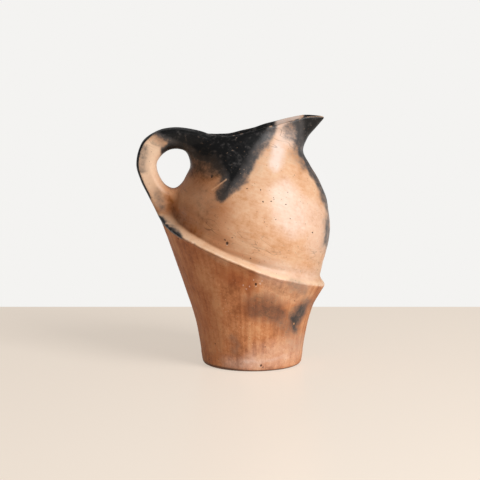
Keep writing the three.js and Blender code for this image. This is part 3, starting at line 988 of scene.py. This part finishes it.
# Scraped streaks lie on a ring of this radius (m) and are drawn out up the wall this many times
STREAK_RING = 0.07
STREAK_STRETCH = 10
# Burnishing strokes rise by this many degrees and are this many times as long as they are wide
STROKE_SLANT = 20
STROKE_STRETCH = 4
# Spacing of the temper's grains and of the pits strewn all round, in millimetres
TEMPER_SPACING = 2.6
PIT_SPACING = 17
# The skin is unrolled at this radius for its small marks, whose outlines are shaken this much (mm)
MARKED_RADIUS = 75
MARK_SHAKE = 3.5

# Small marks seen on the near side: place on the skin and radius, in millimetres
PITS = (
    ((-44.1, -48.1, 213.2), 1.5), ((-27.2, -80.7, 145.6), 1.5), ((-29.0, -79.0, 149.0), 0.6),
    ((3.9, -81.7, 101.2), 1.5), ((-40.4, -42.0, 28.8), 0.9), ((-71.0, -45.0, 146.0), 0.9),
    ((-5.9, -68.2, 202.8), 0.7), ((8.9, -68.6, 201.3), 0.7), ((20.2, -73.1, 189.6), 0.8),
    ((22.4, -70.4, 193.5), 0.6), ((22.9, -71.1, 191.6), 0.6), ((11.2, -75.0, 189.3), 0.9),
    ((35.6, -69.2, 185.9), 0.8), ((38.1, -61.2, 197.9), 0.5), ((25.0, -78.2, 170.9), 0.7),
    ((12.7, -81.5, 168.7), 0.6), ((40.5, -71.5, 171.0), 0.6), ((65.2, -54.7, 153.3), 0.9),
    ((45.3, -43.3, 214.2), 0.6), ((9.5, -54.3, 7.0), 1.3), ((12.0, -54.0, 5.4), 1.0),
    ((-2.2, -82.8, 129.6), 0.7), ((14.0, -55.0, 28.0), 0.7),
)
LIME_FLECKS = (
    ((-10.2, -78.1, 100.1), 0.9), ((-6.4, -76.9, 95.5), 0.8), ((-3.2, -78.6, 98.5), 0.8),
    ((1.5, -84.9, 106.1), 0.6), ((4.2, -79.8, 98.5), 0.9), ((8.5, -82.3, 101.3), 1.2),
    ((10.6, -84.6, 104.6), 1.1), ((-27.5, -80.7, 143.9), 0.8), ((8.5, -54.3, 6.2), 1.0),
)
RED_GRIT = (((45.5, -43.5, 51.2), 1.3),)


def fired_clay(name, colours, gloss):
    """Fired clay, whose finish changes over one skin as the scraping, burnishing and smoke do"""
    material = bpy.data.materials.new(name)
    material.use_nodes = True
    material.node_tree.nodes.clear()
    add = partial(add_node, material.node_tree)
    times = {"operation": "MULTIPLY"}
    plus = {"operation": "MULTIPLY_ADD"}
    blend = {"data_type": "RGBA", "out": 2}
    step = {"interpolation_type": "SMOOTHSTEP"}

    masks = {}
    for mask in ("smoke", "stain", "pale", "scraped", "dirt", "worn", "crazed", "inside"):
        masks[mask] = add("Attribute", attribute_name=mask, out="Fac")

    # Places: as they are, drawn out along the wall, and drawn out along the burnishing strokes
    here = add("TexCoord", out="Object")
    flat = add("VectorMath", (here, (1, 1, 0)), **times)
    ring = add("VectorMath", (flat,), operation="NORMALIZE")
    ring = add("VectorMath", (ring, (STREAK_RING, STREAK_RING, 0)), **times)
    height = add("VectorMath", (here, (0, 0, 1 / STREAK_STRETCH)), **times)
    up_wall = add("VectorMath", (ring, height))
    slant = (0, math.radians(STROKE_SLANT), 0)
    strokes = {"Vector": here, "Rotation": slant, "Scale": (STROKE_STRETCH, STROKE_STRETCH, 1)}
    strokes = add("Mapping", strokes, vector_type="TEXTURE")

    # Grains: where they lie, their size in millimetres, detail and roughness. Real grit is finer than a
    # millimetre, and is drawn a little coarser here so that it shows.
    grains = {}
    for grain, where, size, detail, rough in (
        ("cloud", here, 30, 3, 0.55),
        ("mottle", here, 7, 4, 0.6),
        ("crumb", here, 2.6, 3, 0.6),
        ("grit", here, 1.3, 2, 0.5),
        ("streak", up_wall, 5, 3, 0.5),
        ("brush", strokes, 2.4, 4, 0.62),
        ("hair", strokes, 7, 1, 0.4),
    ):
        inputs = {"Vector": where, "Scale": 1 / (size * MM), "Detail": detail, "Roughness": rough}
        grains[grain] = add("TexNoise", inputs)

    # Sums of grains, each with its weight
    sums = {}
    for total, parts in {
        "burnished": {"cloud": 0.38, "mottle": 0.2, "brush": 0.24, "crumb": 0.18},
        "scraped": {"cloud": 0.36, "mottle": 0.24, "streak": 0.24, "crumb": 0.16},
        "ragged": {"mottle": 0.5, "crumb": 0.3, "brush": 0.2},
        "fine": {"grit": 0.1, "brush": 0.16, "mottle": 0.25},
        "coarse": {"grit": 0.22, "streak": 0.2, "crumb": 0.16, "mottle": 0.2},
    }.items():
        sums[total] = 0.0
        for grain, weight in parts.items():
            sums[total] = add("Math", (grains[grain], weight, sums[total]), **plus)

    # Burnished clay was pressed smooth with a pebble, so it changes in broad soft clouds
    stops = [(0.37, colours.sienna), (0.48, colours.tan), (0.6, colours.buff)]
    burnished = add("ValToRGB", (sums["burnished"],), stops)
    # Scraped clay was drawn up the wall with a rib, so grit leaves upright streaks
    stops = [(0.4, colours.scraped_dark), (0.5, colours.scraped_mid), (0.6, colours.scraped_light)]
    scraped = add("ValToRGB", (sums["scraped"],), stops)
    clay = add("Mix", {0: masks["scraped"], 6: burnished, 7: scraped}, **blend)

    # Pale slip with painted highlights, wear with painted highlights, and painted shade over the clay: their
    # mask, how raggedly, how strongly, and their colour
    uneven = add("Math", (sums["ragged"], -0.5), operation="ADD")
    for mask, ragged, strength, shade in (
        ("pale", 0.5, 0.8, colours.slip),
        ("worn", 0.8, 0.75, colours.worn),
        ("dirt", 0.5, 0.8, colours.dirt),
    ):
        amount = add("Math", (uneven, 4 * ragged, 1.0), **plus)
        amount = add("Math", (masks[mask], amount), use_clamp=True, **times)
        amount = add("Math", (amount, strength), **times)
        clay = add("Mix", {0: amount, 6: clay, 7: shade}, **blend)

    # Fine lines that opened along the strokes as the clay dried
    hair = add("Math", (grains["hair"], -0.5), operation="ADD")
    hair = add("Math", (hair,), operation="ABSOLUTE")
    hair = add("MapRange", (hair, 0.014, 0.003, 0.0, 0.45), **step)
    hair = add("Math", (hair, masks["crazed"]), **times)
    clay = add("Mix", {0: hair, 6: clay, 7: colours.dirt}, **blend)

    # Temper: grains of grit, dark and pale
    cells = add("TexVoronoi", {"Vector": here, "Scale": 1 / (TEMPER_SPACING * MM)})
    kinds = add("SeparateColor", (cells.node.outputs["Color"],))
    dot = add("MapRange", (cells, 0.25, 0.1, 0.0, 0.5), **step)
    for test, limit, shade in (("GREATER_THAN", 0.84, colours.dirt), ("LESS_THAN", 0.06, colours.worn)):
        chosen = add("Math", (kinds, limit), operation=test)
        chosen = add("Math", (chosen, dot), **times)
        clay = add("Mix", {0: chosen, 6: clay, 7: shade}, **blend)

    # Smoke: it greys the clay where it is thin, and is black where it is full, with scuffs and flecks
    edge = add("MapRange", (masks["smoke"], 0.0, 0.3, 0.0, 1.0), **step)
    edge = add("Math", (edge, uneven), **times)
    depth = add("Math", (edge, 0.85, masks["smoke"]), **plus)
    stops = [(0.15, colours.thin_smoke), (0.5, colours.grey_smoke), (0.9, colours.black_smoke)]
    smoke = add("ValToRGB", (depth,), stops)
    scuff = add("MapRange", (sums["ragged"], 0.5, 0.66, 0.0, 0.65), **step)
    smoke = add("Mix", {0: scuff, 6: smoke, 7: colours.grey_smoke}, **blend)
    cover = add("MapRange", (depth, 0.0, 0.62), **step)
    fleck = add("MapRange", (grains["crumb"], 0.66, 0.74, 1.0, 0.7), **step)
    cover = add("Math", (cover, fleck), **times)
    clay = add("Mix", {0: cover, 6: clay, 7: smoke}, **blend)

    # The stain of the firing, and painted shade on the dark side and in creases, warms and darkens what lies
    # under it
    amount = add("Math", (uneven, 1.6, 1.0), **plus)
    amount = add("Math", (masks["stain"], amount), use_clamp=True, **times)
    clay = add("Mix", {0: amount, 6: clay, 7: colours.stain}, blend_type="MULTIPLY", **blend)

    # Small marks: pale lime, red grit, and pits darkened with dirt and painted shade, of which a sparse
    # scatter lies all round
    axes = add("SeparateXYZ", (here,))
    away = add("Math", (axes.node.outputs["Y"], -1.0), **times)
    round_jug = add("Math", (axes, away), operation="ARCTAN2")
    round_jug = add("Math", (round_jug, MARKED_RADIUS * MM), **times)
    unrolled = add("CombineXYZ", {0: round_jug, 2: axes.node.outputs["Z"]})
    shake = grains["crumb"].node.outputs["Color"]
    shake = add("VectorMath", (shake, (0.5, 0.5, 0.5)), operation="SUBTRACT")
    unrolled = add("VectorMath", (shake, (MARK_SHAKE * MM, 0, MARK_SHAKE * MM), unrolled), **plus)
    strewn = add("TexVoronoi", {"Vector": here, "Scale": 1 / (PIT_SPACING * MM)})
    pit = add("MapRange", (strewn, 0.045, 0.02, 0.0, 0.8), **step)
    for marks, mark, strength, shade in (
        (LIME_FLECKS, 0.0, 0.5, colours.slip),
        (RED_GRIT, 0.0, 0.9, colours.scraped_light),
        (PITS, pit, 0.9, colours.dirt),
    ):
        for (x, y, z), radius in marks:
            centre = (math.atan2(x, -y) * MARKED_RADIUS * MM, 0, z * MM)
            gap = add("VectorMath", (unrolled, centre), out="Value", operation="DISTANCE")
            spot = add("MapRange", (gap, 1.1 * radius * MM, 0.6 * radius * MM), **step)
            mark = add("Math", (mark, spot), operation="MAXIMUM")
        amount = add("Math", (mark, strength), **times)
        clay = add("Mix", {0: amount, 6: clay, 7: shade}, **blend)
        pit = mark

    # Gloss: burnishing and smoke shine softly, scraping and the inside are matt
    rough = gloss
    for where, value in ((masks["scraped"], 0.6), (cover, 0.42), (masks["inside"], 0.8)):
        rough = add("Mix", {0: where, 2: rough, 3: value})
    rough = add("Math", (uneven, 0.5, rough), **plus)

    # Relief in millimetres, turned to a bump
    relief = add("Mix", {0: masks["scraped"], 2: sums["fine"], 3: sums["coarse"]})
    relief = add("Math", (pit, -0.8, relief), **plus)
    bump = add("Bump", {"Strength": 1.0, "Distance": MM, "Height": relief})
    gleam = {"IOR": 1.45, "Specular IOR Level": 0.35}
    shader = add("BsdfPrincipled", {"Base Color": clay, "Roughness": rough, "Normal": bump, **gleam})
    add("OutputMaterial", {"Surface": shader})
    return material


def clay_material(slot, colours):
    """The clay of a record slot, made once"""
    # Terracotta scraped with a rib: matt and streaked. Burnished with a pebble: a soft sheen. Burnished and
    # blackened by smoke in the firing: the same sheen over black.
    finishes = {
        "scraped_clay": ("terracotta scraped with a rib", 0.46),
        "burnished_clay": ("terracotta burnished with a pebble", 0.44),
        "smoked_clay": ("terracotta burnished and smoke-blackened", 0.42),
    }
    name, gloss = finishes[slot]
    return bpy.data.materials.get(name) or fired_clay(name, colours, gloss)


# Pieces


def read_all(items, what, kind, width=1):
    """One property of all of a mesh's items, as an array"""
    values = np.empty(len(items) * width, kind)
    items.foreach_get(what, values)
    return values.reshape(-1, width) if width > 1 else values


def lay_piece(context, name):
    """Make one piece of clay as an object that stands for its node"""
    jug = context.scene.jug
    skin, pieces = jug_pieces(jug)
    mesh = bpy.data.meshes.new(name)
    pieces[name].to_mesh(mesh)
    points = (read_all(mesh.vertices, "co", np.float32, 3) / MM).astype(float)
    _, normals = skin.at(points)
    for mask, values in paint(skin, points, normals).items():
        layer = mesh.attributes.new(mask, "FLOAT", "POINT")
        layer.data.foreach_set("value", values.astype(np.float32))
    # The skin takes the field's own normals, and the seams' faces stay flat
    corners = read_all(mesh.loops, "vertex_index", np.int32)
    sizes = read_all(mesh.polygons, "loop_total", np.int32)
    is_skin = np.repeat(read_all(mesh.polygons, "use_smooth", bool), sizes)
    flat = np.repeat(read_all(mesh.polygons, "normal", np.float32, 3), sizes, axis=0)
    mesh.normals_split_custom_set(np.where(is_skin[:, None], normals[corners], flat))
    piece = bpy.data.objects.new(f"{name}_clay", mesh)
    context.scene.collection.objects.link(piece)
    slot = next(p["material_slot"] for p in frame["record"]["subparts"] if p["node"] == name)
    mesh.materials.append(clay_material(slot, jug.colours))
    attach(piece, "root")
    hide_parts(name)


def lay_pieces(context, *names):
    """Lay pieces of clay one after the other"""
    for name in names:
        lay_piece(context, name)
    return {"FINISHED"}


class JUG_OT_floor_slab(bpy.types.Operator):
    """Lay the round floor slab"""

    bl_idname = "jug.floor_slab"
    bl_label = "Floor slab"

    def execute(self, context):
        return lay_pieces(context, "floor_slab")


class JUG_OT_lower_wall(bpy.types.Operator):
    """Coil the three courses of the scraped lower wall"""

    bl_idname = "jug.lower_wall"
    bl_label = "Lower wall"

    def execute(self, context):
        return lay_pieces(context, *(f"lower_wall_course_{i}" for i in COURSES))


class JUG_OT_ridge_collar(bpy.types.Operator):
    """Form the collar with the slanted ridge"""

    bl_idname = "jug.ridge_collar"
    bl_label = "Ridge collar"

    def execute(self, context):
        return lay_pieces(context, "ridge_collar")


class JUG_OT_belly(bpy.types.Operator):
    """Coil the three courses of the burnished belly"""

    bl_idname = "jug.belly"
    bl_label = "Belly"

    def execute(self, context):
        return lay_pieces(context, *(f"belly_course_{i}" for i in COURSES))


class JUG_OT_neck(bpy.types.Operator):
    """Draw in the neck from shoulder to throat"""

    bl_idname = "jug.neck"
    bl_label = "Neck"

    def execute(self, context):
        return lay_pieces(context, "neck_course")


class JUG_OT_spout_rim(bpy.types.Operator):
    """Flare the rim and pinch its beak"""

    bl_idname = "jug.spout_rim"
    bl_label = "Spout and rim"

    def execute(self, context):
        return lay_pieces(context, "spout_rim")


class JUG_OT_strap_handle(bpy.types.Operator):
    """Pull the strap handle and lute it on"""

    bl_idname = "jug.strap_handle"
    bl_label = "Strap handle"

    def execute(self, context):
        return lay_pieces(context, "strap_handle")


def flat_sheet(context, name, low, high, z, material):
    """A level rectangle that belongs to the stage"""
    mesh = bpy.data.meshes.new(name)
    corners = [(x, y, z) for x in (low[0], high[0]) for y in (low[1], high[1])]
    mesh.from_pydata(corners, [], [(0, 2, 3, 1)])
    mesh.materials.append(material)
    sheet = bpy.data.objects.new(name, mesh)
    context.scene.collection.objects.link(sheet)


def aim(thing, place, target):
    """Put a camera or lamp at a place, looking at a target"""
    thing.location = place
    thing.rotation_euler = (Vector(target) - Vector(place)).to_track_quat("-Z", "Y").to_euler()


# The key lamp: degrees that it turns from the camera and rises, distance, and size (m)
KEY_TURN, KEY_RISE, KEY_DISTANCE, KEY_SIZE = 42, 35, 2.0, (0.9, 1.3)
# Width of the camera's sensor, in millimetres
SENSOR = 36


class JUG_OT_studio(bpy.types.Operator):
    """Set up the table, the backdrop, the lamps and the camera"""

    bl_idname = "jug.studio"
    bl_label = "Studio"

    def execute(self, context):
        scene = context.scene
        studio = scene.jug.studio
        target = Vector(studio.aim)

        # Honed stone keeps a faint mirror of the jug and its shadow, and paper is matt and plain white. Each
        # row: name, colour, roughness, how much it glows to the camera, two corners and the height (m)
        edge = studio.table_edge
        for name, shade, rough, glow, low, high, z in (
            ("honed pale stone table", studio.table, 0.3, 0.6, (-1.4, -2.4), (1.4, edge), 0),
            ("white paper backdrop", studio.backdrop, 1.0, 1.0, (-20, -20), (20, 20), -0.0005),
        ):
            material = bpy.data.materials.new(name)
            material.use_nodes = True
            tree = material.node_tree
            tree.nodes.clear()
            lit = add_node(tree, "BsdfPrincipled", {"Base Color": shade, "Roughness": rough})
            lift = add_node(tree, "Emission", {"Color": shade})
            seen = 0.0
            for ray in ("Is Camera Ray", "Is Glossy Ray", "Is Transmission Ray"):
                seen = add_node(tree, "Math", (seen, add_node(tree, "LightPath", out=ray)))
            seen = add_node(tree, "Math", (seen, glow), operation="MULTIPLY")
            both = add_node(tree, "MixShader", (seen, lit, lift))
            add_node(tree, "OutputMaterial", {"Surface": both})
            flat_sheet(context, name, low, high, z, material)

        world = bpy.data.worlds.new("soft white room")
        world.use_nodes = True
        background = world.node_tree.nodes["Background"]
        background.inputs["Color"].default_value = (1, 1, 1, 1)
        background.inputs["Strength"].default_value = studio.world
        scene.world = world

        # One tall soft lamp in front on the right
        turn, rise = math.radians(KEY_TURN), math.radians(KEY_RISE)
        light = bpy.data.lights.new("key", "AREA")
        light.shape = "RECTANGLE"
        light.size, light.size_y = KEY_SIZE
        light.energy = studio.key
        key = bpy.data.objects.new("key", light)
        scene.collection.objects.link(key)
        level = KEY_DISTANCE * math.cos(rise)
        drop = KEY_DISTANCE * math.sin(rise)
        aim(key, target + Vector((level * math.sin(turn), -level * math.cos(turn), drop)), target)

        camera = bpy.data.objects.new("camera", bpy.data.cameras.new("camera"))
        scene.collection.objects.link(camera)
        away = studio.camera_distance
        rise = studio.camera_rise
        place = target + away * Vector((0, -math.cos(rise), math.sin(rise)))
        aim(camera, place, target)
        camera.data.sensor_fit = "HORIZONTAL"
        camera.data.sensor_width = SENSOR
        camera.data.lens = SENSOR * away / studio.frame_width
        camera.data.clip_end = 100
        scene.camera = camera
        scene.view_settings.view_transform = "Standard"
        return {"FINISHED"}


class JUG_PT_pieces(bpy.types.Panel):
    """The jug's pieces, in the order in which they are laid"""

    bl_idname = "JUG_PT_pieces"
    bl_label = "Pouring jug"
    bl_space_type = "VIEW_3D"
    bl_region_type = "UI"
    bl_category = "Jug"

    def draw(self, context):
        for operator in OPERATORS:
            self.layout.operator(operator.bl_idname)


OPERATORS = (
    JUG_OT_studio, JUG_OT_floor_slab, JUG_OT_lower_wall, JUG_OT_ridge_collar,
    JUG_OT_belly, JUG_OT_neck, JUG_OT_spout_rim, JUG_OT_strap_handle,
)
GROUPS = (
    JugWall, JugRidge, JugBelly, JugRim, JugStrap, JugSurface, JugColours, JugStudio, JugSettings,
)
CLASSES = (*GROUPS, *OPERATORS, JUG_PT_pieces)


def register():
    for cls in CLASSES:
        bpy.utils.register_class(cls)
    bpy.types.Scene.jug = PointerProperty(type=JugSettings, name="Jug", description="The jug")


def unregister():
    del bpy.types.Scene.jug
    for cls in reversed(CLASSES):
        bpy.utils.unregister_class(cls)


def main():
    register()
    bpy.ops.jug.studio()
    bpy.ops.jug.floor_slab()
    bpy.ops.jug.lower_wall()
    bpy.ops.jug.ridge_collar()
    bpy.ops.jug.belly()
    bpy.ops.jug.neck()
    bpy.ops.jug.spout_rim()
    bpy.ops.jug.strap_handle()


if __name__ == "__main__":
    main()
